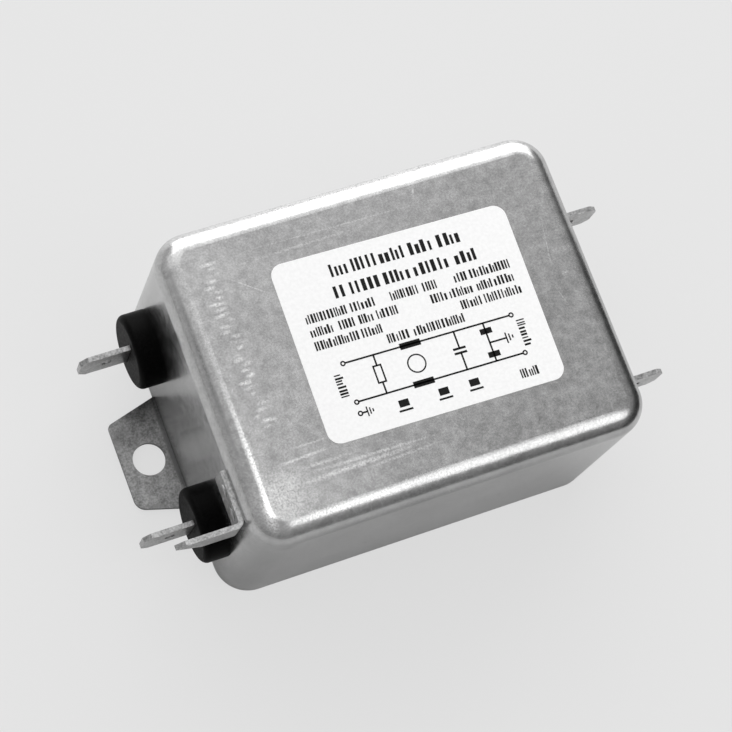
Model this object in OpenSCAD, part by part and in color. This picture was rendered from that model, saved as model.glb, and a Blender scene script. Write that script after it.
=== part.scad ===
// Two-line mains interference filter in a drawn metal can, with push-on blade terminals.
// Frame: millimetres, origin at the middle of the mounting face, +X along the can towards the
// load end, -X towards the line end, +Z out through the closed face that carries the label.

/* [Can] */
// Length of the drawn can
can_l = 65; // [62:1:80]
// Width of the drawn can
can_w = 50; // [48:1:66]
// Height of the can above the mounting plane
can_h = 34; // [33:1:44]
// Sheet thickness of the can
can_wall = 0.8; // [0.6:0.1:1]
// Outer radius of the four upright corners
corner_r = 5.5; // [4.5:0.5:8]
// Outer radius round the drawn closed face
top_r = 3.5; // [2.5:0.5:4]

/* [Base plate] */
// Thickness of the base plate and its ears
plate_t = 0.8; // [0.6:0.1:1.2]
// Gap between the plate edge and the inside of the can rim
plate_gap = 0.1; // [0.05:0.05:0.3]
// How far each mounting ear stands out of the end wall
ear_reach = 8.5; // [7:0.5:12]
// Width of an ear where it leaves the can
ear_root_w = 19; // [14:1:24]
// Width of an ear at its outer edge
ear_tip_w = 14.2; // [11:0.2:18]
// Corner radius of an ear on its front side
ear_front_r = 2; // [0.5:0.5:3]
// Corner radius of an ear on its back side
ear_back_r = 0.8; // [0.2:0.2:2]
// Diameter of the mounting hole in an ear
ear_hole_d = 5.3; // [4:0.1:6]
// Distance from the end wall to the centre of the mounting hole
ear_hole_out = 4; // [3.4:0.1:5]
// Side clearance of an ear in its notch in the can rim, which rests on the ear
notch_gap = 0.15; // [0.05:0.05:0.4]

/* [Terminals] */
// Distance from the long side of the can to the nearer terminal
terminal_inset = 10.5; // [10:0.5:12]
// Height of the terminals above the mounting plane
terminal_z = 12.5; // [10:0.5:15]
// Diameter of an insulating bushing
bushing_d = 12; // [10:0.5:13]
// How far a bushing stands out of the end wall
bushing_reach = 4; // [3:0.5:6]
// Rounding of the outer rim of a bushing
bushing_rim_r = 1; // [0.4:0.2:1.6]
// Diameter of the bushing neck that passes through the wall
neck_d = 8; // [7:0.5:9]
// Clearance of the neck in its wall hole, over the diameter
neck_gap = 0.2; // [0.1:0.1:0.4]
// Diameter of the insulating washer inside the wall
washer_d = 10; // [9:0.5:12]
// Thickness of the insulating washer
washer_t = 1; // [0.6:0.2:1.6]
// Width of the push-on blades
blade_w = 6.3; // [4.8:0.1:6.3]
// Thickness of the push-on blades
blade_t = 0.8; // [0.5:0.1:0.9]
// How far a blade stands out of the bushing face
blade_reach = 8; // [6:0.5:10]
// Corner chamfer at a blade tip
blade_chamfer = 1.2; // [0.6:0.2:1.8]
// Diameter of the detent hole near the blade tip, which a receptacle snaps into
detent_d = 1.65; // [1.4:0.05:2.2]
// Distance from the blade tip to the centre of the detent hole
detent_in = 4.4; // [3.6:0.1:5]
// Width of the blade where it passes through the wall
blade_neck_w = 4.4; // [3:0.2:4.6]
// Depth of the recess that the blade shoulders stand in
shoulder_depth = 1; // [0.5:0.25:2]
// Clearance of a blade in its slots
slot_gap = 0.1; // [0.05:0.05:0.2]
// Length of the solder tail inside the can
tail_l = 6; // [5:0.5:7]
// Width of the clinched lugs that hold a blade behind its washer
lug_w = 5.8; // [5:0.2:6.3]
// Length of the clinched lugs
lug_l = 1.2; // [0.8:0.2:1.6]
// Diameter of the wire hole in the solder tail
tail_hole_d = 1.6; // [1:0.2:2]

/* [Earth tab] */
// Width of the earth tab strip
earth_w = 4.8; // [4:0.1:6.3]
// Thickness of the earth tab strip
earth_t = 0.8; // [0.5:0.1:1]
// Length of the strip that lies on the end wall
earth_foot_l = 9; // [7:0.5:11]
// How far the earth blade stands out of the end wall
earth_reach = 10.8; // [8:0.2:13]
// Distance from the front side of the can to the outer face of the earth blade
earth_inset = 5; // [4.6:0.1:7]
// Gap between the strip and the start of the rounded top edge
earth_drop = 0.6; // [0.2:0.2:2]
// Inner radius of the bend in the strip
earth_bend_r = 0.5; // [0.3:0.1:1]
// Length of the lower taper at the earth blade tip
earth_taper = 4.6; // [2:0.2:6]
// Length of the upper taper at the earth blade tip
earth_top_taper = 1.5; // [0.5:0.1:3]
// Depth of the upper taper at the earth blade tip
earth_top_drop = 1; // [0.4:0.1:2]

/* [Label] */
// Length of the label
label_l = 38.6; // [30:0.2:44]
// Width of the label
label_w = 28.9; // [20:0.1:34]
// Corner radius of the label
label_r = 2; // [1:0.25:4]
// Thickness of the label film
label_t = 0.1; // [0.1:0.05:0.2]
// Shift of the label centre along the can
label_x = 2.3; // [-3:0.1:3]
// Shift of the label centre across the can
label_y = 0.6; // [-2:0.1:2]
// How far the label is stuck on crooked, in degrees
label_turn = -1.2; // [-3:0.1:3]

/* [Choke] */
// Outer diameter of the ring core
core_d = 25; // [22:0.5:25.5]
// Inner diameter of the ring core
core_bore = 14; // [13:0.5:15]
// Height of the ring core
core_h = 10; // [8:0.5:11]
// Edge radius of the coated core
core_r = 0.8; // [0.4:0.2:1.2]
// Diameter of the winding wire
wire_d = 1.2; // [1:0.1:1.3]
// Turns on each half of the choke
turns = 10; // [6:1:11]
// Angle that one winding covers round the ring
wound_angle = 128; // [110:2:136]
// Gap between the winding and the core coating
wire_gap = 0.05; // [0.02:0.01:0.1]
// Thickness of the insulating strip across the core bore
divider_t = 1; // [0.8:0.1:1.6]
// Space between the choke and the solder tails
choke_space = 1; // [0.5:0.25:2]

/* [Capacitors and resistor] */
// Length of the box capacitor, across the can
xcap_l = 26.5; // [22:0.5:27]
// Width of the box capacitor, along the can
xcap_w = 9; // [7:0.5:9.5]
// Height of the box capacitor
xcap_h = 16; // [12:0.5:17]
// Corner radius of the box capacitor
xcap_r = 0.8; // [0.4:0.2:1.4]
// Distance between the leads of the box capacitor
xcap_pitch = 22.5; // [20:0.5:22.5]
// Space between the choke and the box capacitor
xcap_space = 1.2; // [0.6:0.2:2]
// Diameter of a disc capacitor
disc_d = 9; // [7:0.5:9]
// Thickness of a disc capacitor
disc_t = 3.6; // [3:0.2:4]
// Distance between the leads of a disc capacitor
disc_pitch = 5; // [4:0.5:6]
// Space between the disc capacitors and the box capacitor
disc_space = 0.8; // [0.6:0.1:1.2]
// Space between the two disc capacitors
disc_apart = 3; // [2:0.5:5]
// Diameter of the bleeder resistor body
resistor_d = 3.6; // [2.5:0.1:4]
// Length of the thicker ends of the resistor body
resistor_cap_l = 2; // [1:0.25:3]
// Length of the bleeder resistor body
resistor_l = 10; // [8:0.5:12]
// Diameter of the component leads
lead_d = 0.8; // [0.6:0.1:0.8]

/* [Filling and lining] */
// Depth of the potting resin behind the closed face
resin_depth = 9; // [8:0.5:10]
// Resin left between the parts and the closed face
resin_floor = 1; // [0.6:0.2:2]
// Clearance of the parts in the resin
resin_gap = 0.05; // [0.02:0.01:0.1]
// Thickness of the insulating liner
liner_t = 0.4; // [0.3:0.1:0.6]
// Inner fold radius of the liner
liner_r = 1.5; // [1:0.5:3]

/* [Hidden] */

$fn = 48;
over = 1;                                     // how far a cutting shape runs past what it cuts
LINE = -1;                                    // the end with the earth tab
LOAD = 1;
FRONT = -1;
BACK = 1;

inner_l = can_l - 2 * can_wall;
inner_w = can_w - 2 * can_wall;
ceiling_z = can_h - can_wall;                 // inside of the closed face
terminal_y = can_w / 2 - terminal_inset;
earth_y = can_w / 2 - earth_inset;
resin_z = ceiling_z - resin_depth;            // open surface of the resin
parts_z = ceiling_z - resin_floor;            // upper end of the parts in the resin

// choke
wire_r = wire_d / 2;
coil_out = wire_gap + wire_d;                 // thickness of one layer of winding
choke_x = -inner_l / 2 + washer_t + tail_l + choke_space + core_d / 2 + coil_out;
core_z = parts_z - coil_out - core_h / 2;     // middle height of the core

// capacitors
xcap_x = choke_x + core_d / 2 + coil_out + xcap_space + xcap_w / 2;
xcap_z0 = parts_z - xcap_h;
disc_x = xcap_x + xcap_w / 2 + disc_space + disc_t / 2;
disc_y = disc_d / 2 + disc_apart / 2;
disc_z = parts_z - disc_d / 2;

// solder tails
tail_root = inner_l / 2 - washer_t;           // where a tail leaves its washer
tail_end = tail_root - tail_l;                // where it ends, towards the middle of the can
tail_hole_x = tail_end + tail_hole_d;
tail_top = terminal_z + blade_neck_w / 2;
tail_chamfer = 0.6;

// ---------------------------------------------------------------- helpers

function unit(v) = v / norm(v);

// points where a corner's arc meets its sides, and the arc's centre
function corner_side(p, q, r, half) = p + unit(q - p) * r / tan(half);
function corner_half(a, p, b) = acos(unit(a - p) * unit(b - p)) / 2;
function corner_centre(a, p, b, r) =
    p + unit(unit(a - p) + unit(b - p)) * r / sin(corner_half(a, p, b));

// convex outline with a true arc at each corner
module rounded_outline(points, radii) {
    n = len(points);
    polygon([for (i = [0 : n - 1], k = [-1, 1])
        let (a = points[(i + n - 1) % n], p = points[i], b = points[(i + 1) % n])
        corner_side(p, k < 0 ? a : b, radii[i], corner_half(a, p, b))]);
    for (i = [0 : n - 1])
        translate(corner_centre(points[(i + n - 1) % n], points[i], points[(i + 1) % n], radii[i]))
            circle(radii[i]);
}

module rounded_rect(l, w, r) {
    rounded_outline([[-l / 2, -w / 2], [l / 2, -w / 2], [l / 2, w / 2], [-l / 2, w / 2]],
        [r, r, r, r]);
}

// cross-section of a drawn box: square at the open side, rounded at the closed one
module drawn_section(w, h, r) {
    translate([-w / 2, 0]) square([w, h - r]);
    translate([r - w / 2, 0]) square([w - 2 * r, h]);
    for (s = [-1, 1]) translate([s * (w / 2 - r), h - r]) circle(r);
}

// box with upright corner radius rc and radius rt round its closed face
module drawn_box(l, w, h, rc, rt) {
    for (sx = [-1, 1], sy = [-1, 1])
        translate([sx * (l / 2 - rc), sy * (w / 2 - rc), 0])
            rotate_extrude()
                intersection() {
                    drawn_section(2 * rc, h, rt);
                    square([rc, h]);
                }
    rotate([90, 0, 90]) linear_extrude(l - 2 * rc, center = true) drawn_section(w, h, rt);
    rotate([90, 0, 0]) linear_extrude(w - 2 * rc, center = true) drawn_section(l, h, rt);
}

// space inside the can, from height z0 up to the closed face
module can_inside(z0) {
    translate([0, 0, z0])
        drawn_box(inner_l, inner_w, ceiling_z - z0, corner_r - can_wall, top_r - can_wall);
}

// puts a part of one terminal in place: the child stands on the origin and points along +X
module at_terminal(end, side) {
    translate([end * can_l / 2, side * terminal_y, terminal_z])
        scale([end, 1, 1]) children();
}

// tube of circular section along a list of points
function path_dir(p, i) =
    i == 0 ? unit(p[1] - p[0])
    : i == len(p) - 1 ? unit(p[i] - p[i - 1])
    : unit(unit(p[i + 1] - p[i]) + unit(p[i] - p[i - 1]));
function carry(u, d) = unit(u - (u * d) * d);

module wire(points, d, sides = 8) {
    n = len(points);
    first = path_dir(points, 0);
    start = carry(abs(first[2]) < 0.9 ? [0, 0, 1] : [1, 0, 0], first);
    ups = [for (i = 0, u = start; i < n; i = i + 1, u = i < n ? carry(u, path_dir(points, i)) : u) u];
    rings = [for (i = [0 : n - 1])
        let (u = ups[i], v = cross(path_dir(points, i), u))
        for (k = [0 : sides - 1])
            points[i] + d / 2 * (cos(360 * k / sides) * u + sin(360 * k / sides) * v)];
    polyhedron(rings, concat(
        [[for (k = [0 : sides - 1]) k]],
        [for (i = [0 : n - 2], k = [0 : sides - 1])
            let (a = i * sides + k, b = i * sides + (k + 1) % sides)
            [a, a + sides, b + sides, b]],
        [[for (k = [sides - 1 : -1 : 0]) (n - 1) * sides + k]]), convexity = 10);
}

// route of a lead with each inner corner bent round in a few steps
lead_bend = 1.5;
function bent(points) = concat([points[0]],
    [for (i = [1 : 1 : len(points) - 2])
        let (p = points[i],
            turn = min(lead_bend, norm(points[i - 1] - p) / 2, norm(points[i + 1] - p) / 2),
            a = p + unit(points[i - 1] - p) * turn,
            b = p + unit(points[i + 1] - p) * turn)
        for (t = [0 : 0.25 : 1]) (1 - t) * (1 - t) * a + 2 * t * (1 - t) * p + t * t * b],
    [points[len(points) - 1]]);

// ---------------------------------------------------------------- housing

module can() {
    color([0.66, 0.66, 0.67]) difference() {
        drawn_box(can_l, can_w, can_h, corner_r, top_r);
        can_inside(-over);
        for (end = [LINE, LOAD], side = [FRONT, BACK])
            at_terminal(end, side)
                rotate([0, 90, 0]) cylinder(d = neck_d + neck_gap, h = 6 * can_wall, center = true);
        translate([-can_l / 2 - over, -ear_root_w / 2 - notch_gap, -over])
            cube([can_l + 2 * over, ear_root_w + 2 * notch_gap, plate_t + over]);
    }
}

module ear_outline(end) {
    out = can_l / 2 + ear_reach;
    root = can_l / 2 - can_wall - plate_gap - over;
    points = [[root, -ear_root_w / 2], [can_l / 2, -ear_root_w / 2], [out, -ear_tip_w / 2],
        [out, ear_tip_w / 2], [can_l / 2, ear_root_w / 2], [root, ear_root_w / 2]];
    small = 0.05;                             // radius of the corners that stay sharp
    scale([end, 1]) rounded_outline(points, [small, small, ear_front_r, ear_back_r, small, small]);
}

module base_plate() {
    color([0.68, 0.68, 0.69]) difference() {
        linear_extrude(plate_t) {
            rounded_rect(inner_l - 2 * plate_gap, inner_w - 2 * plate_gap,
                corner_r - can_wall - plate_gap);
            ear_outline(LINE);
            ear_outline(LOAD);
        }
        for (end = [LINE, LOAD])
            translate([end * (can_l / 2 + ear_hole_out), 0, -over])
                cylinder(d = ear_hole_d, h = plate_t + 2 * over);
    }
}

// ---------------------------------------------------------------- terminals

slot_w = blade_w + 2 * slot_gap;
slot_t = blade_t + 2 * slot_gap;
neck_slot_w = blade_neck_w + 2 * slot_gap;

module bushing(end, side) {
    rim = bushing_rim_r;
    r = bushing_d / 2;
    color([0.06, 0.06, 0.065]) at_terminal(end, side) difference() {
        rotate([0, 90, 0]) {
            rotate_extrude() {
                square([r, bushing_reach - rim]);
                square([r - rim, bushing_reach]);
                translate([r - rim, bushing_reach - rim]) circle(rim);
            }
            translate([0, 0, -can_wall]) cylinder(d = neck_d, h = can_wall + bushing_reach / 2);
        }
        translate([bushing_reach - shoulder_depth, -slot_t / 2, -slot_w / 2])
            cube([shoulder_depth + over, slot_t, slot_w]);
        translate([-can_wall - over, -slot_t / 2, -neck_slot_w / 2])
            cube([can_wall + bushing_reach + over, slot_t, neck_slot_w]);
    }
}

module washer(end, side) {
    color([0.55, 0.38, 0.2]) at_terminal(end, side) difference() {
        translate([-can_wall - washer_t, 0, 0]) rotate([0, 90, 0]) cylinder(d = washer_d, h = washer_t);
        translate([-can_wall - washer_t - over, -slot_t / 2, -neck_slot_w / 2])
            cube([washer_t + 2 * over, slot_t, neck_slot_w]);
    }
}

// half outline of a blade above its centre line, from the solder tail to the tip
function blade_half(shoulder, back, tip) = [
    [back - tail_l, blade_neck_w / 2 - tail_chamfer],
    [back - tail_l + tail_chamfer, blade_neck_w / 2],
    [back - lug_l, blade_neck_w / 2],
    [back - lug_l, lug_w / 2],
    [back, lug_w / 2],
    [back, blade_neck_w / 2],
    [shoulder, blade_neck_w / 2],
    [shoulder, blade_w / 2],
    [tip - blade_chamfer, blade_w / 2],
    [tip, blade_w / 2 - blade_chamfer]];

module blade(end, side) {
    half = blade_half(bushing_reach - shoulder_depth, -can_wall - washer_t, bushing_reach + blade_reach);
    n = len(half);
    hole_x = -can_wall - washer_t - tail_l + tail_hole_d;
    color([0.74, 0.74, 0.75]) at_terminal(end, side)
        rotate([90, 0, 0]) linear_extrude(blade_t, center = true) difference() {
            polygon(concat(half, [for (i = [n - 1 : -1 : 0]) [half[i][0], -half[i][1]]]));
            translate([hole_x, 0]) circle(d = tail_hole_d);
            translate([bushing_reach + blade_reach - detent_in, 0]) circle(d = detent_d);
        }
}

// strip spot-welded flat on the line end wall, then bent out into a pointed blade
module earth_tab() {
    top = can_h - top_r - earth_drop;
    bend = earth_bend_r + earth_t;            // outer radius of the bend
    reach = earth_reach;
    color([0.72, 0.72, 0.73])
        translate([-can_l / 2, -earth_y, top - earth_w])
            mirror([1, 0, 0])
                intersection() {
                    linear_extrude(earth_w) {
                        translate([0, bend]) square([earth_t, earth_foot_l - bend]);
                        translate([bend, 0]) square([reach - bend, earth_t]);
                        intersection() {
                            difference() {
                                translate([bend, bend]) circle(bend);
                                translate([bend, bend]) circle(earth_bend_r);
                            }
                            square(bend);
                        }
                    }
                    rotate([90, 0, 0]) translate([0, 0, -earth_foot_l - over])
                        linear_extrude(earth_foot_l + 2 * over)
                            polygon([[-over, 0], [reach - earth_taper, 0],
                                [reach, earth_w - earth_top_drop],
                                [reach - earth_top_taper, earth_w], [-over, earth_w]]);
                }
}

module label() {
    color([0.96, 0.96, 0.96])
        translate([label_x, label_y, can_h]) rotate([0, 0, label_turn])
            linear_extrude(label_t) rounded_rect(label_l, label_w, label_r);
}

// ---------------------------------------------------------------- choke

module choke_core() {
    color([0.2, 0.42, 0.3]) translate([choke_x, 0, core_z])
        rotate_extrude() translate([(core_d + core_bore) / 4, 0])
            rounded_rect((core_d - core_bore) / 2, core_h, core_r);
}

module choke_divider() {
    half = core_bore / 2;
    color([0.85, 0.82, 0.7]) translate([choke_x, 0, core_z])
        intersection() {
            cube([core_bore, divider_t, core_h + 2 * coil_out], center = true);
            cylinder(r = half, h = core_h + 4 * coil_out, center = true);
        }
}

// the loop that a turn follows round the core section, as [radius, height], for a = 0 to 360
loop_w = (core_d - core_bore) / 2 + 2 * wire_gap + wire_d;
loop_h = core_h + 2 * wire_gap + wire_d;
loop_r = core_r + wire_gap + wire_r;
loop_steps = 16;
function loop_corner(q) = [(q == 0 || q == 3 ? 1 : -1) * (loop_w / 2 - loop_r),
    (q < 2 ? 1 : -1) * (loop_h / 2 - loop_r)];
function loop_point(k) =
    let (q = floor(k / 4) % 4, a = 90 * q + 30 * (k % 4))
    [(core_d + core_bore) / 4, 0] + loop_corner(q) + loop_r * [cos(a), sin(a)];

// turns of one winding: they start and end on the lower outer edge of the ring
loop_start = 14;
function coil_points(side) =
    let (count = turns * loop_steps - 1)
    [for (k = [0 : count - 1])
        let (p = loop_point((loop_start + k) % loop_steps),
            a = 90 + wound_angle / 2 - wound_angle * k / (count - 1))
        [choke_x + p[0] * cos(a), side * p[0] * sin(a), core_z + p[1]]];

// the ends of the wire run to the wire holes of the line tail and the load tail
module winding(side) {
    y = side * terminal_y;
    run_y = side * terminal_y / 2;            // where the wire passes under the capacitors
    straight = 2.5;                           // length square to the tail
    bend = wire_d;                            // size of the bend after it
    under = xcap_z0 - 2 * wire_d;             // height of the wire under the box capacitor
    points = concat(
        [[-tail_hole_x, y, terminal_z],
            [-tail_hole_x, y - side * straight, terminal_z],
            [-tail_hole_x + bend / 2, y - side * (straight + bend), terminal_z + bend / 2]],
        coil_points(side),
        [[xcap_x - xcap_w / 2, run_y, under],
            [xcap_x, run_y, (under + terminal_z) / 2],
            [disc_x, run_y, terminal_z],
            [tail_hole_x - bend, y - side * (straight + bend), terminal_z],
            [tail_hole_x, y - side * straight, terminal_z],
            [tail_hole_x, y, terminal_z]]);
    color([0.72, 0.36, 0.16]) wire(points, wire_d);
}

// ---------------------------------------------------------------- capacitors and resistor

// box capacitor across the load tails: its leads butt on the ends of the tails
module box_capacitor() {
    z = terminal_z - blade_neck_w / 4;
    straight = 2 * lead_bend;                 // last length, square to the end of the tail
    color([0.8, 0.72, 0.25]) {
        translate([xcap_x, 0, xcap_z0]) linear_extrude(xcap_h) rounded_rect(xcap_w, xcap_l, xcap_r);
        for (side = [FRONT, BACK])
            wire(bent([[xcap_x, side * xcap_pitch / 2, xcap_z0 + lead_d],
                [xcap_x, side * xcap_pitch / 2, z],
                [tail_end - straight, side * terminal_y, z],
                [tail_end, side * terminal_y, z]]), lead_d);
    }
}

// disc capacitor from one load tail to the end wall of the can
module disc_capacitor(side) {
    outer_y = side * (disc_y + disc_pitch / 2);
    inner_y = side * (disc_y - disc_pitch / 2);
    turn_z = resin_z - 4 * lead_bend;         // where the live lead turns off to its tail
    wall_z = turn_z - 2 * lead_bend;          // where the other one turns off to the wall
    color([0.2, 0.4, 0.75]) {
        translate([disc_x, side * disc_y, disc_z])
            rotate([0, 90, 0]) cylinder(d = disc_d, h = disc_t, center = true);
        wire(bent([[disc_x, outer_y, disc_z],
            [disc_x, outer_y, turn_z],
            [tail_hole_x, side * terminal_y, tail_top + 2 * lead_d],
            [tail_hole_x, side * terminal_y, tail_top]]), lead_d);
        wire(bent([[disc_x, inner_y, disc_z],
            [disc_x, inner_y, wall_z],
            [inner_l / 2, inner_y, wall_z]]), lead_d);
    }
}

// resistor between the two line tails
module bleeder_resistor() {
    waist = 0.3;                              // how much thinner the middle of the body is
    color([0.8, 0.72, 0.55]) translate([-(tail_root + tail_hole_x) / 2, 0, terminal_z])
        rotate([90, 0, 0]) {
            cylinder(d = resistor_d - 2 * waist, h = resistor_l, center = true);
            for (s = [-1, 1])
                translate([0, 0, s * (resistor_l - resistor_cap_l) / 2])
                    cylinder(d = resistor_d, h = resistor_cap_l, center = true);
            cylinder(d = lead_d, h = 2 * terminal_y - blade_t, center = true);
        }
}

// ---------------------------------------------------------------- filling and lining

module potting_resin() {
    g = resin_gap;
    lead_slot = disc_pitch + lead_d + 2 * g;  // width of the space round the leads of a disc
    color([0.12, 0.12, 0.13]) difference() {
        can_inside(resin_z);
        translate([choke_x, 0, resin_z - over])
            rotate_extrude() translate([core_bore / 2 - coil_out - g, 0])
                square([(core_d - core_bore) / 2 + 2 * (coil_out + g), resin_depth - resin_floor + over]);
        translate([choke_x - core_bore / 2, -divider_t / 2 - g, resin_z - over])
            cube([core_bore, divider_t + 2 * g, resin_depth - resin_floor + over]);
        translate([xcap_x, 0, resin_z - over])
            linear_extrude(resin_depth - resin_floor + over)
                rounded_rect(xcap_w + 2 * g, xcap_l + 2 * g, xcap_r + g);
        for (side = [FRONT, BACK]) {
            translate([disc_x, side * disc_y, disc_z])
                rotate([0, 90, 0]) cylinder(d = disc_d + 2 * g, h = disc_t + 2 * g, center = true);
            translate([disc_x - disc_t / 2 - g, side * disc_y - lead_slot / 2, resin_z - over])
                cube([disc_t + 2 * g, lead_slot, disc_z - resin_z + over]);
        }
    }
}

// folded sheet on the base plate, turned up along the front and back walls to the resin
module insulation_liner() {
    rise = resin_z - plate_t;
    run = inner_l - 2 * (corner_r - can_wall);
    color([0.82, 0.72, 0.5]) translate([0, 0, resin_z])
        rotate([90, 0, 90]) linear_extrude(run, center = true)
            mirror([0, 1]) difference() {
                drawn_section(inner_w, rise, liner_r + liner_t);
                translate([0, -over])
                    drawn_section(inner_w - 2 * liner_t, rise - liner_t + over, liner_r);
            }
}

can();
base_plate();
bushing(LINE, FRONT);  // bushing_line_front
bushing(LINE, BACK);  // bushing_line_back
bushing(LOAD, FRONT);  // bushing_load_front
bushing(LOAD, BACK);  // bushing_load_back
blade(LINE, FRONT);  // blade_line_front
blade(LINE, BACK);  // blade_line_back
blade(LOAD, FRONT);  // blade_load_front
blade(LOAD, BACK);  // blade_load_back
washer(LINE, FRONT);  // washer_line_front
washer(LINE, BACK);  // washer_line_back
washer(LOAD, FRONT);  // washer_load_front
washer(LOAD, BACK);  // washer_load_back
earth_tab();
label();
choke_core();
choke_divider();
winding(FRONT);  // winding_front
winding(BACK);  // winding_back
box_capacitor();
disc_capacitor(FRONT);  // disc_capacitor_front
disc_capacitor(BACK);  // disc_capacitor_back
bleeder_resistor();
potting_resin();
insulation_liner();
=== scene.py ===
# Mains interference filter in a drawn metal can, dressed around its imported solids.
import math
import random
import bpy
import bmesh
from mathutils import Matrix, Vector


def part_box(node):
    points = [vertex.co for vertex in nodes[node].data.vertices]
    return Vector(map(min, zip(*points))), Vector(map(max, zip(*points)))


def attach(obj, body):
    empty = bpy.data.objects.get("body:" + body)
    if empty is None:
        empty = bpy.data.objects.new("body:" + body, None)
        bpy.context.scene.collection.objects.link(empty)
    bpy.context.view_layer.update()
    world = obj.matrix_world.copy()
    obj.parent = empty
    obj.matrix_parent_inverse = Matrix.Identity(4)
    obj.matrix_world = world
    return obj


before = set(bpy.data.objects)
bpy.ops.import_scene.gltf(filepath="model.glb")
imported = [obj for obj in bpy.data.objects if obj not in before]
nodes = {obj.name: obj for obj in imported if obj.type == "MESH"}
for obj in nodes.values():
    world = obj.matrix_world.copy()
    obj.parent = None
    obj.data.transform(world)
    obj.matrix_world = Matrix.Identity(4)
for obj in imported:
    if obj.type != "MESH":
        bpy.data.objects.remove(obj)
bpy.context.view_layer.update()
mm = 0.001
print("frame loaded:", len(nodes), "nodes")


# lowest and highest corner of a node, in millimetres
def place(node):
    low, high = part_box(node)
    return low / mm, high / mm


def deselectAll():
    if bpy.context.object and bpy.context.object.mode != "OBJECT":
        bpy.ops.object.mode_set(mode="OBJECT")
    bpy.ops.object.select_all(action="DESELECT")


def selectFaces(piece, wanted):
    mesh = bmesh.from_edit_mesh(piece.data)
    for face in mesh.faces:
        face.select = wanted(face)
    mesh.select_flush_mode()
    bmesh.update_edit_mesh(piece.data)


def applyAll(piece):
    bpy.ops.object.transform_apply(location=True, rotation=True, scale=True)
    for modifier in list(piece.modifiers):
        bpy.ops.object.modifier_apply(modifier=modifier.name)


def dress(piece, material):
    piece.data.materials.clear()
    piece.data.materials.append(material)
    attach(piece, "root")


# adds a shader node: an input takes a value, or another node's output
def addNode(tree, kind, inputs=None, **settings):
    node = tree.nodes.new(kind)
    for key, value in settings.items():
        setattr(node, key, value)
    for key, value in (inputs or {}).items():
        if isinstance(value, bpy.types.NodeSocket):
            tree.links.new(value, node.inputs[key])
        else:
            node.inputs[key].default_value = value
    return node


def grey(value):
    return (value, value, value, 1.0)


def millimetres(tree, stretch):
    coords = addNode(tree, "ShaderNodeTexCoord")
    mapped = addNode(tree, "ShaderNodeMapping",
                     {"Vector": coords.outputs["Object"],
                      "Scale": tuple(share / mm for share in stretch)})
    return mapped.outputs["Vector"]


# noise with its scale in turns per millimetre
def noise(tree, scale, detail, stretch=(1, 1, 1), roughness=0.5):
    made = addNode(tree, "ShaderNodeTexNoise",
                   {"Vector": millimetres(tree, stretch), "Scale": scale,
                    "Detail": detail, "Roughness": roughness})
    return made.outputs["Fac"]


def mapRange(tree, value, low, high, toLow, toHigh):
    made = addNode(tree, "ShaderNodeMapRange",
                   {"Value": value, "From Min": low, "From Max": high,
                    "To Min": toLow, "To Max": toHigh})
    return made.outputs["Result"]


def calculate(tree, how, a, b):
    made = addNode(tree, "ShaderNodeMath", {0: a, 1: b}, operation=how)
    return made.outputs[0]


def weightedSum(tree, parts):
    total = 0.0
    for part, weight in parts:
        total = calculate(tree, "ADD", total, calculate(tree, "MULTIPLY", part, weight))
    return total


def blend(tree, factor, a, b):
    made = addNode(tree, "ShaderNodeMix", data_type="RGBA", blend_type="MIX")
    for index, value in ((0, factor), (6, a), (7, b)):
        if isinstance(value, bpy.types.NodeSocket):
            tree.links.new(value, made.inputs[index])
        else:
            made.inputs[index].default_value = value
    return made.outputs[2]


def newMaterial(name, **constants):
    material = bpy.data.materials.new(name)
    material.use_nodes = True
    tree = material.node_tree
    shader = tree.nodes["Principled BSDF"]
    for key, value in constants.items():
        shader.inputs[key].default_value = value
    return material, tree, shader


# a soft ellipsoid, 1 in its middle and 0 at its edge: the mask of one mark; the marks are scuffs,
# soil, painted highlights and painted shade
def markEllipsoid(tree, at, turn, size):
    coords = addNode(tree, "ShaderNodeTexCoord")
    local = addNode(tree, "ShaderNodeMapping",
                    {"Vector": coords.outputs["Object"], "Location": [v * mm for v in at],
                     "Rotation": [math.radians(a) for a in turn],
                     "Scale": [v * mm for v in size]}, vector_type="TEXTURE")
    ball = addNode(tree, "ShaderNodeTexGradient", {"Vector": local.outputs["Vector"]},
                   gradient_type="SPHERICAL")
    return ball.outputs["Fac"]


def markEllipsoids(tree, rows):
    together = 0.0
    for at, turn, size, strength in rows:
        one = calculate(tree, "MULTIPLY", markEllipsoid(tree, at, turn, size), strength)
        together = calculate(tree, "MAXIMUM", one, together)
    return together


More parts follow.
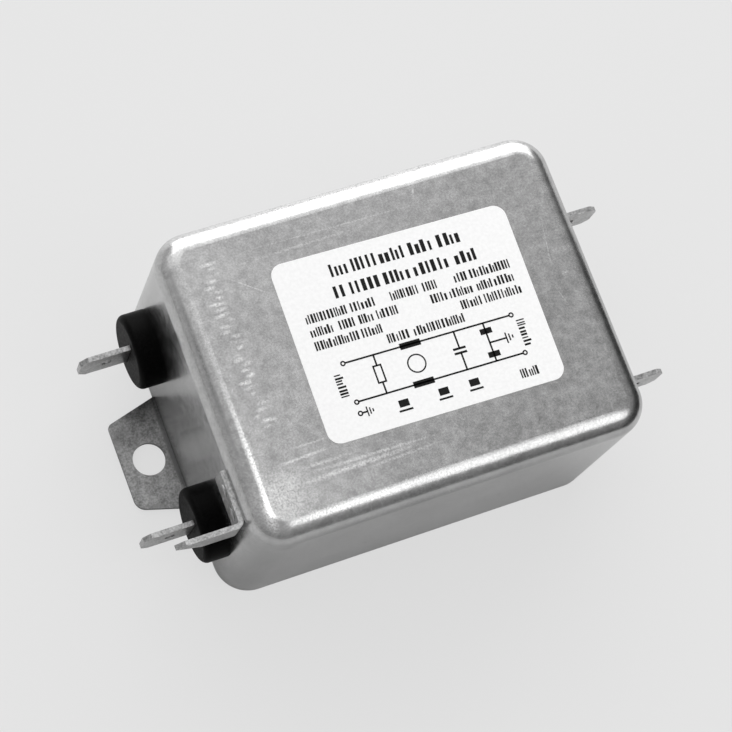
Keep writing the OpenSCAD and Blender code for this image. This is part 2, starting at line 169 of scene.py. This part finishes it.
def satinMetal(name, look, scuffsAndPaintedHighlights, soilAndPaintedShade):
    material, tree, shader = newMaterial(name, Metallic=1.0)
    blotch = noise(tree, look["blotchScale"], 3.0)
    cloud = noise(tree, look["cloudScale"], 4.0, roughness=0.6)
    grain = noise(tree, look["grainScale"], 1.0)
    drawn = noise(tree, 1.0, 1.0, stretch=look["drawnStretch"])
    warp = noise(tree, look["warpScale"], 1.0)
    mixed = weightedSum(tree, zip((blotch, cloud, grain, drawn), look["shares"]))
    tone = mapRange(tree, mixed, *look["contrast"], 0.0, 1.0)
    colour = blend(tree, tone, grey(look["dark"]), grey(look["light"]))
    broken = mapRange(tree, grain, *look["broken"], 1.0)
    # the light marks are scuffs and painted highlights, the dark marks soil and painted shade, all
    # blended into the base colour
    for marks, markTone in ((scuffsAndPaintedHighlights, look["scuffAndHighlightTone"]), (soilAndPaintedShade, look["soilAndShadeTone"])):
        if marks:
            shown = calculate(tree, "MULTIPLY", markEllipsoids(tree, marks), broken)
            colour = blend(tree, shown, colour, grey(markTone))
    tree.links.new(colour, shader.inputs["Base Color"])
    rough = mapRange(tree, cloud, 0.3, 0.7, look["roughLow"], look["roughHigh"])
    tree.links.new(rough, shader.inputs["Roughness"])
    height = weightedSum(tree, ((grain, look["grainDepth"]), (drawn, look["drawnDepth"]),
                                (cloud, look["wave"]), (warp, look["warp"])))
    bump = addNode(tree, "ShaderNodeBump",
                   {"Height": height, "Strength": 1.0, "Distance": look["bump"] * mm})
    tree.links.new(bump.outputs["Normal"], shader.inputs["Normal"])
    return material


def plainStuff(name, look):
    material, tree, shader = newMaterial(name, Metallic=look.get("metallic", 0.0))
    shader.inputs["Specular IOR Level"].default_value = look.get("shine", 0.5)
    fine = noise(tree, look.get("scale", 3.0), 3.0)
    colour = blend(tree, mapRange(tree, fine, 0.35, 0.65, 0.0, 1.0), look["dark"], look["light"])
    tree.links.new(colour, shader.inputs["Base Color"])
    tree.links.new(mapRange(tree, fine, 0.3, 0.7, look["roughLow"], look["roughHigh"]),
                   shader.inputs["Roughness"])
    bump = addNode(tree, "ShaderNodeBump", {"Height": fine, "Strength": look.get("bump", 0.1),
                                            "Distance": 0.05 * mm})
    tree.links.new(bump.outputs["Normal"], shader.inputs["Normal"])
    return material


# shares go to the blotch, cloud, grain and drawn noises, in that order; the two mark tones colour
# scuffs and painted highlights, and soil and painted shade
canLook = {"dark": 0.39, "light": 0.57, "scuffAndHighlightTone": 0.95, "soilAndShadeTone": 0.14,
           "roughLow": 0.2, "roughHigh": 0.27, "blotchScale": 0.1, "cloudScale": 0.7,
           "grainScale": 3.3, "drawnStretch": (2.5, 2.5, 0.15), "shares": (0.25, 0.35, 0.35, 0.05),
           "contrast": (0.38, 0.62), "broken": (0.35, 0.6, 0.3),
           "grainDepth": 0.06, "drawnDepth": 0.04, "wave": 0.2, "warpScale": 0.2, "warp": 1.2,
           "bump": 0.05}
plateLook = dict(canLook, dark=0.14, light=0.38, blotchScale=0.25, roughLow=0.3, roughHigh=0.4)
bladeLook = dict(canLook, dark=0.22, light=0.55, blotchScale=0.4, cloudScale=1.5, warp=0.5,
                 roughLow=0.3, roughHigh=0.4)

# a mark has its middle, its turn in degrees, its half size and its strength, in millimetres
scuffsAndPaintedHighlights = [
    ((-15.0, -17.2, 34), (0, 0, 1), (12.0, 0.5, 3), 1.0),
    ((-12.0, -16.3, 34), (0, 0, -1), (13.0, 0.35, 3), 0.8),
    ((-19.0, -15.2, 34), (0, 0, 0), (6.0, 0.4, 3), 0.7),
    ((-8.0, -17.9, 34), (0, 0, 2), (8.0, 0.3, 3), 0.6),
    ((-22.0, -13.6, 34), (0, 0, 2), (5.0, 0.35, 3), 0.9),
    ((-20.0, -11.9, 34), (0, 0, 0), (4.0, 0.25, 3), 0.5),
    # painted highlights: brighter metal along the back fillet, a bright patch at the front-left
    # corner, along the left fillet and the left part of the front fillet, and a painted glow on the
    # top beside them
    ((0, 24.5, 32.8), (0, 0, 0), (60, 1.9, 1.9), 1.5),
    ((-29.6, -20.0, 33.9), (0, 0, 0), (1.1, 4.5, 2), 1.6),
    ((-29.2, -13.0, 34), (0, 0, 0), (0.7, 12.0, 2), 0.7),
    ((-18.0, -22.3, 33.9), (0, 0, 0), (14.0, 0.9, 1.5), 0.5),
    ((-26.5, -18.0, 34), (0, 0, 0), (6.0, 5.0, 3), 0.6),
    # the rest are bright scratches and scuffs on the top
    ((7.5, -13.9, 34), (0, 0, 8), (2.5, 0.2, 3), 0.6),
    ((-10.0, 17.3, 34), (0, 0, 1), (14.0, 0.25, 3), 0.35),
    ((-4.0, 18.6, 34), (0, 0, -1), (18.0, 0.2, 3), 0.35),
    ((-20.5, 13.6, 34), (0, 0, -38), (4.0, 0.14, 3), 0.6),
    ((9.0, 20.2, 34), (0, 0, 70), (1.1, 0.3, 3), 0.8),
    ((26.2, 6.0, 34), (0, 0, 80), (6.5, 0.15, 3), 0.35),
    ((25.4, -2.0, 34), (0, 0, 105), (3.0, 0.15, 3), 0.3),
    ((27.2, 1.2, 34), (0, 0, 10), (0.9, 0.5, 3), 0.5),
]

# short scuffs in a band along the line end of the closed face
bandLook = {"rows": 30, "x": -25.4, "sway": 0.8, "firstY": 18.5, "pitch": 0.9, "tilt": 7,
            "lengths": (0.8, 1.7), "width": 0.42, "strengths": (0.4, 1.2), "seed": 5}
scuffDraw = random.Random(bandLook["seed"])
for row in range(bandLook["rows"]):
    x = bandLook["x"] + scuffDraw.uniform(-bandLook["sway"], bandLook["sway"])
    y = bandLook["firstY"] - bandLook["pitch"] * row
    tilt = scuffDraw.uniform(-bandLook["tilt"], bandLook["tilt"])
    size = (scuffDraw.uniform(*bandLook["lengths"]), bandLook["width"], 3)
    scuffsAndPaintedHighlights.append(((x, y, 34), (0, 0, tilt), size,
                        scuffDraw.uniform(*bandLook["strengths"])))

soilAndPaintedShade = [
    # painted shade: dark reflection bands along the right, left and front fillets
    ((32.3, 0, 31.7), (0, 0, 0), (1.7, 60, 1.7), 1.2),
    ((-30.9, 5.0, 33.3), (0, 0, 0), (0.5, 20.0, 1), 0.8),
    ((0, -24.7, 31.4), (0, 0, 0), (60, 1.3, 1.5), 0.7),
    # small dark scratches on the top, and two small marks on the front wall
    ((14.5, -19.3, 34), (0, 0, 60), (0.9, 0.25, 3), 0.7),
    ((24.0, -20.1, 34), (0, 0, 40), (0.8, 0.3, 3), 0.6),
    ((2.5, -18.6, 34), (0, 0, 35), (0.7, 0.2, 3), 0.5),
    ((-11.2, -25, 11.0), (0, 65, 0), (1.8, 3, 0.25), 0.8),
    ((11.2, -25, 14.0), (0, 75, 0), (1.6, 3, 0.4), 0.5),
    # painted shade: the front wall darker at its upper left corner, a painted contact shadow along
    # the top edge of the earth tab's foot and along the foot of the end wall where it meets the ear,
    # and the front wall darker towards its left end and towards the bottom
    ((-27.5, -25, 29.5), (0, 20, 0), (2.6, 3, 3.2), 0.7),
    ((-32.5, -15.4, 30.05), (0, 0, 0), (1, 5.0, 0.35), 1.0),
    ((-32.5, 0, 0.9), (0, 0, 0), (1, 13.0, 1.0), 1.6),
    ((-32.5, -5.0, 1.1), (0, 0, 0), (1, 5.0, 1.3), 1.6),
    ((-31.0, -25, 14.0), (0, 0, 0), (9.0, 4, 30.0), 0.7),
    ((0, -25, -3.0), (0, 0, 0), (60.0, 4, 14.0), 0.3),
]
canMetal = satinMetal("canMetal", canLook, scuffsAndPaintedHighlights, soilAndPaintedShade)
plateBlotchesAndSeamShadow = [
    # painted contact shadow along the ear where it meets the end wall, then two dark blotches on the
    # ear
    ((-32.7, 0, 0.8), (0, 0, 0), (0.6, 13.0, 2), 3.0),
    ((-41.0, 4.0, 0.8), (0, 0, 35), (5.0, 1.2, 2), 0.5),
    ((-39.0, -8.5, 0.8), (0, 0, 20), (3.0, 1.6, 2), 0.7),
]
tabScratches = [
    ((-33.6, -17.5, 26.5), (70, 0, 0), (1.2, 4.0, 0.3), 1.2),
    ((-33.6, -14.5, 25.0), (80, 0, 0), (1.2, 3.0, 0.25), 1.2),
    ((-33.6, -15.8, 23.5), (40, 0, 0), (1.2, 2.0, 0.3), 1.0),
]
tabMarks = [
    ((-33.6, -15.4, 24.0), (20, 0, 0), (1.2, 1.6, 0.9), 1.3),
    ((-33.6, -16.5, 28.6), (0, 0, 0), (1.2, 3.0, 0.5), 1.2),
    ((-38.0, 12.0, 13.0), (0, 0, 0), (1.6, 3, 0.5), 0.8),
    ((-38.0, -12.0, 13.0), (0, 0, 0), (1.6, 3, 0.5), 0.8),
]
plateMetal = satinMetal("plateMetal", plateLook, (), plateBlotchesAndSeamShadow)
bladeMetal = satinMetal("bladeMetal", bladeLook, tabScratches, tabMarks)

# black moulding, label film and ink
blackMoulding = plainStuff("blackMoulding", {"dark": grey(0.001), "light": grey(0.003),
                                             "roughLow": 0.35, "roughHigh": 0.5,
                                             "shine": 0.03})
labelFilm = plainStuff("labelFilm", {"dark": grey(0.88), "light": grey(0.93), "scale": 2.0,
                                     "roughLow": 0.5, "roughHigh": 0.6, "bump": 0.03})
blackInk = plainStuff("blackInk", {"dark": grey(0.002), "light": grey(0.012), "scale": 6.0,
                                   "roughLow": 0.5, "roughHigh": 0.65, "shine": 0.15})

# dark and light colour and roughness of what lies inside the can
innerLooks = {
    "fibre": ((0.3, 0.18, 0.08, 1), (0.45, 0.3, 0.16, 1), 0.7),
    "coreCoating": ((0.05, 0.2, 0.1, 1), (0.1, 0.3, 0.18, 1), 0.45),
    "linerBoard": ((0.5, 0.4, 0.22, 1), (0.62, 0.52, 0.3, 1), 0.8),
    "enamelledWire": ((0.45, 0.14, 0.03, 1), (0.65, 0.27, 0.08, 1), 0.3),
    "capacitorBox": ((0.6, 0.5, 0.08, 1), (0.72, 0.62, 0.14, 1), 0.4),
    "capacitorDisc": ((0.05, 0.16, 0.42, 1), (0.1, 0.26, 0.56, 1), 0.4),
    "resistorLacquer": ((0.6, 0.48, 0.28, 1), (0.72, 0.6, 0.4, 1), 0.45),
    "resinCast": ((0.02, 0.02, 0.024, 1), (0.04, 0.04, 0.045, 1), 0.5),
}
innerStuff = {}
for stuffName, (dark, light, rough) in innerLooks.items():
    innerStuff[stuffName] = plainStuff(stuffName, {
        "dark": dark, "light": light, "roughLow": rough - 0.08, "roughHigh": rough + 0.08,
        "metallic": 1.0 if stuffName == "enamelledWire" else 0.0})

dressing = {"can": canMetal, "base_plate": plateMetal, "bushing": blackMoulding,
            "blade": bladeMetal, "earth_tab": bladeMetal, "label": labelFilm,
            "washer": innerStuff["fibre"], "choke_core": innerStuff["coreCoating"],
            "choke_divider": innerStuff["linerBoard"], "winding": innerStuff["enamelledWire"],
            "box_capacitor": innerStuff["capacitorBox"],
            "disc_capacitor": innerStuff["capacitorDisc"],
            "bleeder_resistor": innerStuff["resistorLacquer"],
            "potting_resin": innerStuff["resinCast"],
            "insulation_liner": innerStuff["linerBoard"]}
for nodeName, solid in nodes.items():
    for start, material in dressing.items():
        if nodeName.startswith(start):
            solid.data.materials.clear()
            solid.data.materials.append(material)
print("solids dressed")


# print on the label: rows of short strokes, and a circuit of plain lines, bars and rings
# a word row has its y, height, stroke and spans in x; an upright row swaps x and y
# wires and bars have x0, x1, y0, y1, and rings x, y, radius, width
top, bottom = -2.9, -9.1
printLook = {
    "turn": math.radians(-1.2), "thick": 0.02, "line": 0.27, "seed": 7,
    "words": (
        (11.3, 2.0, 0.5, ((-10.4, -7.4), (-6.9, -3.0), (-2.4, 1.9), (2.5, 6.7), (7.2, 10.8))),
        (7.9, 1.9, 0.5, ((-10.9, -9.2), (-8.3, -3.6), (-2.8, 1.1), (2.1, 7.9), (8.9, 12.4))),
        (5.0, 1.4, 0.27, ((-16.5, -9.8), (-9.3, -5.6), (-2.8, 1.9), (2.5, 4.9), (7.7, 9.7),
                          (10.3, 16.9))),
        (2.85, 1.4, 0.27, ((-16.5, -12.6), (-11.9, -9.5), (-8.7, -6.5), (-5.8, -2.2),
                           (3.1, 5.6), (6.2, 10.2), (10.7, 13.1), (13.6, 17.1))),
        (0.7, 1.4, 0.27, ((-16.5, -9.6), (-9.0, -5.6), (7.3, 10.6), (11.2, 17.1))),
        (-1.2, 1.4, 0.27, ((-5.5, -2.0), (-1.2, 6.9))),
        (-12.1, 1.4, 0.27, ((12.4, 15.4),))),
    "uprightWords": ((-14.7, 1.3, 0.24, ((-7.9, -4.1),)), (15.3, 1.3, 0.24, ((-8.1, -3.8),))),
    "wires": ((-13.0, 13.9, top, top), (-13.0, 13.9, bottom, bottom),
              (-8.5, -8.5, -4.6, top), (-8.5, -8.5, bottom, -7.3),
              (4.65, 4.65, -5.5, top), (4.65, 4.65, bottom, -6.5),
              (9.5, 9.5, bottom, top), (9.5, 12.2, -6.1, -6.1), (-12.9, -12.4, -10.9, -10.9)),
    "bars": ((-4.15, -0.8, top - 0.5, top + 0.5), (-4.15, -0.8, bottom - 0.5, bottom + 0.5),
             (-9.25, -7.8, -4.75, -4.5), (-9.25, -7.8, -7.4, -7.15),
             (-9.25, -9.0, -7.4, -4.5), (-8.05, -7.8, -7.4, -4.5),
             (3.6, 5.65, -5.8, -5.45), (3.6, 5.65, -6.5, -6.15),
             (8.6, 10.5, -4.65, -3.75), (8.6, 10.5, -8.4, -7.5)),
    "rings": ((-13.35, top, 0.42, 0.22), (14.25, top, 0.42, 0.22),
              (-13.35, bottom, 0.42, 0.22), (14.25, bottom, 0.42, 0.22),
              (-2.5, -6.0, 1.5, 0.22), (-13.4, -10.9, 0.42, 0.22)),
    "earthSigns": ((-6.1, 0.11, ((12.3, 0.85), (12.8, 0.55), (13.3, 0.25))),
                   (-10.9, 0.1, ((-12.25, 0.75), (-11.8, 0.5), (-11.35, 0.25)))),
    "blocks": (-6.5, 0.0, 5.0)}
labelLow, labelHigh = place("label")
labelMid = (labelLow + labelHigh) / 2


def printBar(x0, x1, y0, y1):
    middle = ((x0 + x1) / 2 * mm, (y0 + y1) / 2 * mm, 0)
    bpy.ops.mesh.primitive_plane_add(size=mm, location=middle)
    bpy.ops.transform.resize(value=(x1 - x0, y1 - y0, 1), center_override=middle)


def printRing(x, y, radius, width):
    bpy.ops.mesh.primitive_circle_add(vertices=32, radius=radius * mm, fill_type="NGON",
                                      location=(x * mm, y * mm, 0))
    bpy.ops.mesh.inset(thickness=width * mm)
    bpy.ops.mesh.delete(type="FACE")


def wire(x0, x1, y0, y1):
    half = printLook["line"] / 2
    printBar(x0 - half, x1 + half, y0 - half, y1 + half)


def strokeRow(y, height, stroke, spans, upright=False):
    for x, end in spans:
        while x < end - stroke * 0.5:
            tall = height * strokes.choice((1.0, 1.0, 0.75))
            width = stroke * strokes.choice((0.8, 1.0, 1.3))
            low = y - height / 2
            if upright:
                printBar(low, low + tall, x, x + width)
            else:
                printBar(x, x + width, low, low + tall)
            x += width + stroke * strokes.choice((0.6, 0.8, 1.1))


strokes = random.Random(printLook["seed"])
deselectAll()
bpy.ops.mesh.primitive_plane_add(size=mm)
labelPrint = bpy.context.object
labelPrint.name = "labelPrint"
bpy.ops.object.mode_set(mode="EDIT")
bpy.ops.mesh.delete(type="VERT")
for row in printLook["words"]:
    strokeRow(*row)
for row in printLook["uprightWords"]:
    strokeRow(*row, upright=True)
for line in printLook["wires"]:
    wire(*line)
for bar in printLook["bars"]:
    printBar(*bar)
for ring in printLook["rings"]:
    printRing(*ring)
for y, half, lines in printLook["earthSigns"]:
    for x, reach in lines:
        printBar(x - half, x + half, y - reach, y + reach)
for x in printLook["blocks"]:                  # a plain block over a thin bar
    printBar(x - 1.1, x + 1.1, -12.5, -12.2)
    printBar(x - 0.8, x + 0.8, -11.8, -10.7)
bpy.ops.object.mode_set(mode="OBJECT")
labelPrint.location = Vector((labelMid.x, labelMid.y, labelHigh.z)) * mm
labelPrint.rotation_euler = (0, 0, printLook["turn"])
inkDepth = labelPrint.modifiers.new("inkDepth", "SOLIDIFY")
inkDepth.thickness = printLook["thick"] * mm
inkDepth.offset = 1.0
applyAll(labelPrint)
dress(labelPrint, blackInk)
print("label print made:", len(labelPrint.data.polygons), "faces")


# spot welds on the foot of the earth tab
weldLook = {"radius": 1.1, "proud": 0.12, "dish": 0.18, "rim": 0.35, "out": 0.8, "soft": 0.05,
            "spots": ((-17.2, 27.6), (-13.6, 27.8))}
canLow, canHigh = place("can")
weldSpots = []
for y, z in weldLook["spots"]:
    deselectAll()
    bpy.ops.mesh.primitive_cylinder_add(
        vertices=32, radius=weldLook["radius"] * mm, depth=2 * weldLook["proud"] * mm,
        location=Vector((canLow.x - weldLook["out"], y, z)) * mm, rotation=(0, math.radians(-90), 0))
    spot = bpy.context.object
    bpy.ops.object.transform_apply(location=True, rotation=True, scale=True)
    bpy.ops.object.mode_set(mode="EDIT")
    selectFaces(spot, lambda face: face.normal.x < -0.9)
    bpy.ops.mesh.inset(thickness=weldLook["rim"] * mm)
    bpy.ops.transform.translate(value=(weldLook["dish"] * mm, 0, 0))
    bpy.ops.object.mode_set(mode="OBJECT")
    weldSpots.append(spot)
deselectAll()
for spot in weldSpots:
    spot.select_set(True)
bpy.context.view_layer.objects.active = weldSpots[0]
bpy.ops.object.join()
weldMarks = bpy.context.object
weldMarks.name = "weldMarks"
softened = weldMarks.modifiers.new("soft", "BEVEL")
softened.width = weldLook["soft"] * mm
softened.segments = 2
applyAll(weldMarks)
bpy.ops.object.shade_smooth_by_angle(angle=math.radians(40))
dress(weldMarks, bladeMetal)
print("weld marks made")


# camera
cameraLook = {"at": (-0.116077, -0.079360, 0.380689), "turn": (17.21425, -11.99106, -21.08791),
              "lens": 122.778}
cameraData = bpy.data.cameras.new("camera")
cameraData.lens = cameraLook["lens"]
cameraData.sensor_width = 36
camera = bpy.data.objects.new("camera", cameraData)
bpy.context.scene.collection.objects.link(camera)
camera.location = cameraLook["at"]
camera.rotation_euler = [math.radians(a) for a in cameraLook["turn"]]
bpy.context.scene.camera = camera

# floor: for the camera it is mostly its own even tone, and it keeps the shadow
floorLook = {"size": 8.0, "tone": 0.7836, "mottle": 0.004, "flat": 0.8}
deselectAll()
bpy.ops.mesh.primitive_plane_add(size=floorLook["size"], location=(0, 0, -0.1 * mm))
studioFloor = bpy.context.object
studioFloor.name = "studioFloor"
floorMaterial, tree, shader = newMaterial("floorPaint", Roughness=0.9)
shader.inputs["Specular IOR Level"].default_value = 0.0
mottle = mapRange(tree, noise(tree, 0.02, 2.0), 0.3, 0.7,
                  floorLook["tone"] - floorLook["mottle"], floorLook["tone"] + floorLook["mottle"])
tree.links.new(mottle, shader.inputs["Base Color"])
glow = addNode(tree, "ShaderNodeEmission", {"Color": grey(floorLook["tone"]), "Strength": 1.0})
path = addNode(tree, "ShaderNodeLightPath")
seen = calculate(tree, "MULTIPLY", path.outputs["Is Camera Ray"], floorLook["flat"])
mixShader = addNode(tree, "ShaderNodeMixShader",
                    {0: seen, 1: shader.outputs[0], 2: glow.outputs[0]})
tree.links.new(mixShader.outputs[0], tree.nodes["Material Output"].inputs["Surface"])
studioFloor.data.materials.append(floorMaterial)

# soft world: a low tone that leans with X and Y, and a high tone that is lighter to the back
skyLook = {"low": 0.5, "leanX": -0.45, "leanFrom": 0.1, "leanY": 0.16,
           "high": 0.54, "back": 1.0, "backFrom": 0.18, "backTo": 0.5,
           "side": -0.2, "sideFrom": 0.26, "sideTo": 0.4, "from": 0.3, "to": 0.85}
world = bpy.data.worlds.new("studio")
bpy.context.scene.world = world
world.use_nodes = True
tree = world.node_tree
coords = addNode(tree, "ShaderNodeTexCoord")
axes = addNode(tree, "ShaderNodeSeparateXYZ", {"Vector": coords.outputs["Generated"]})
low = mapRange(tree, axes.outputs["Y"], -1.0, 1.0, skyLook["low"] - skyLook["leanY"],
               skyLook["low"] + skyLook["leanY"])
low = calculate(tree, "ADD", low, mapRange(tree, axes.outputs["X"], skyLook["leanFrom"], 1.0, 0.0,
                                           (1.0 - skyLook["leanFrom"]) * skyLook["leanX"]))
high = mapRange(tree, axes.outputs["Y"], skyLook["backFrom"], skyLook["backTo"],
                skyLook["high"], skyLook["high"] + skyLook["back"])
high = calculate(tree, "ADD", high, mapRange(tree, axes.outputs["X"], skyLook["sideFrom"],
                                             skyLook["sideTo"], 0.0, skyLook["side"]))
rise = mapRange(tree, axes.outputs["Z"], skyLook["from"], skyLook["to"], 0.0, 1.0)
tone = addNode(tree, "ShaderNodeMix", {0: rise, 2: low, 3: high}, data_type="FLOAT")
tree.links.new(tone.outputs[0], tree.nodes["Background"].inputs["Color"])

# an aimed lamp faces the object, the others straight down, turned by so many degrees
lampLooks = {
    "backLamp": {"at": (0.208, 0.6, 0.3), "aimed": True, "size": (0.9, 0.68), "glow": 2.15},
    "frontLamp": {"at": (0.29, -0.31, 0.6), "aimed": False, "turn": -45,
                  "size": (0.56, 0.31), "glow": 1.85},
    "topLamp": {"at": (-0.02, 0.05, 0.6), "aimed": False, "turn": 0,
                "size": (0.22, 0.1), "glow": 1.9}}
for lampName, look in lampLooks.items():
    lampData = bpy.data.lights.new(lampName, "AREA")
    lampData.shape = "RECTANGLE"
    lampData.size, lampData.size_y = look["size"]
    lampData.energy = look["glow"] * math.pi * look["size"][0] * look["size"][1]
    lamp = bpy.data.objects.new(lampName, lampData)
    bpy.context.scene.collection.objects.link(lamp)
    lamp.location = look["at"]
    if look["aimed"]:
        lamp.rotation_euler = Vector(look["at"]).to_track_quat("Z", "Y").to_euler()
    else:
        lamp.rotation_euler = (0, 0, math.radians(look["turn"]))

# flags seen only in the metal: one beside the load end, one between the two upper lamps
flagLooks = {
    "sideFlag": {"at": (0.16, -0.2, 0.045), "turn": (0, 90, 0), "size": (0.09, 0.47), "tone": 0.08},
    "gapFlag": {"at": (0.015, -0.19, 0.55), "turn": (0, 0, 0), "size": (0.17, 0.34), "tone": 0.55}}
for flagName, look in flagLooks.items():
    deselectAll()
    bpy.ops.mesh.primitive_plane_add(size=1, location=look["at"],
                                     rotation=[math.radians(a) for a in look["turn"]])
    flag = bpy.context.object
    flag.name = flagName
    flag.scale = (look["size"][0], look["size"][1], 1)
    bpy.ops.object.transform_apply(location=True, rotation=True, scale=True)
    cloth, tree, shader = newMaterial(flagName + "Cloth", Roughness=1.0)
    shader.inputs["Specular IOR Level"].default_value = 0.0
    weave = mapRange(tree, noise(tree, 0.5, 2.0), 0.3, 0.7, 0.95 * look["tone"], look["tone"])
    tree.links.new(weave, shader.inputs["Base Color"])
    flag.data.materials.append(cloth)
    flag.visible_camera = False
    flag.visible_diffuse = False
    flag.visible_shadow = False

bpy.context.scene.view_settings.view_transform = "Standard"
print("studio made")
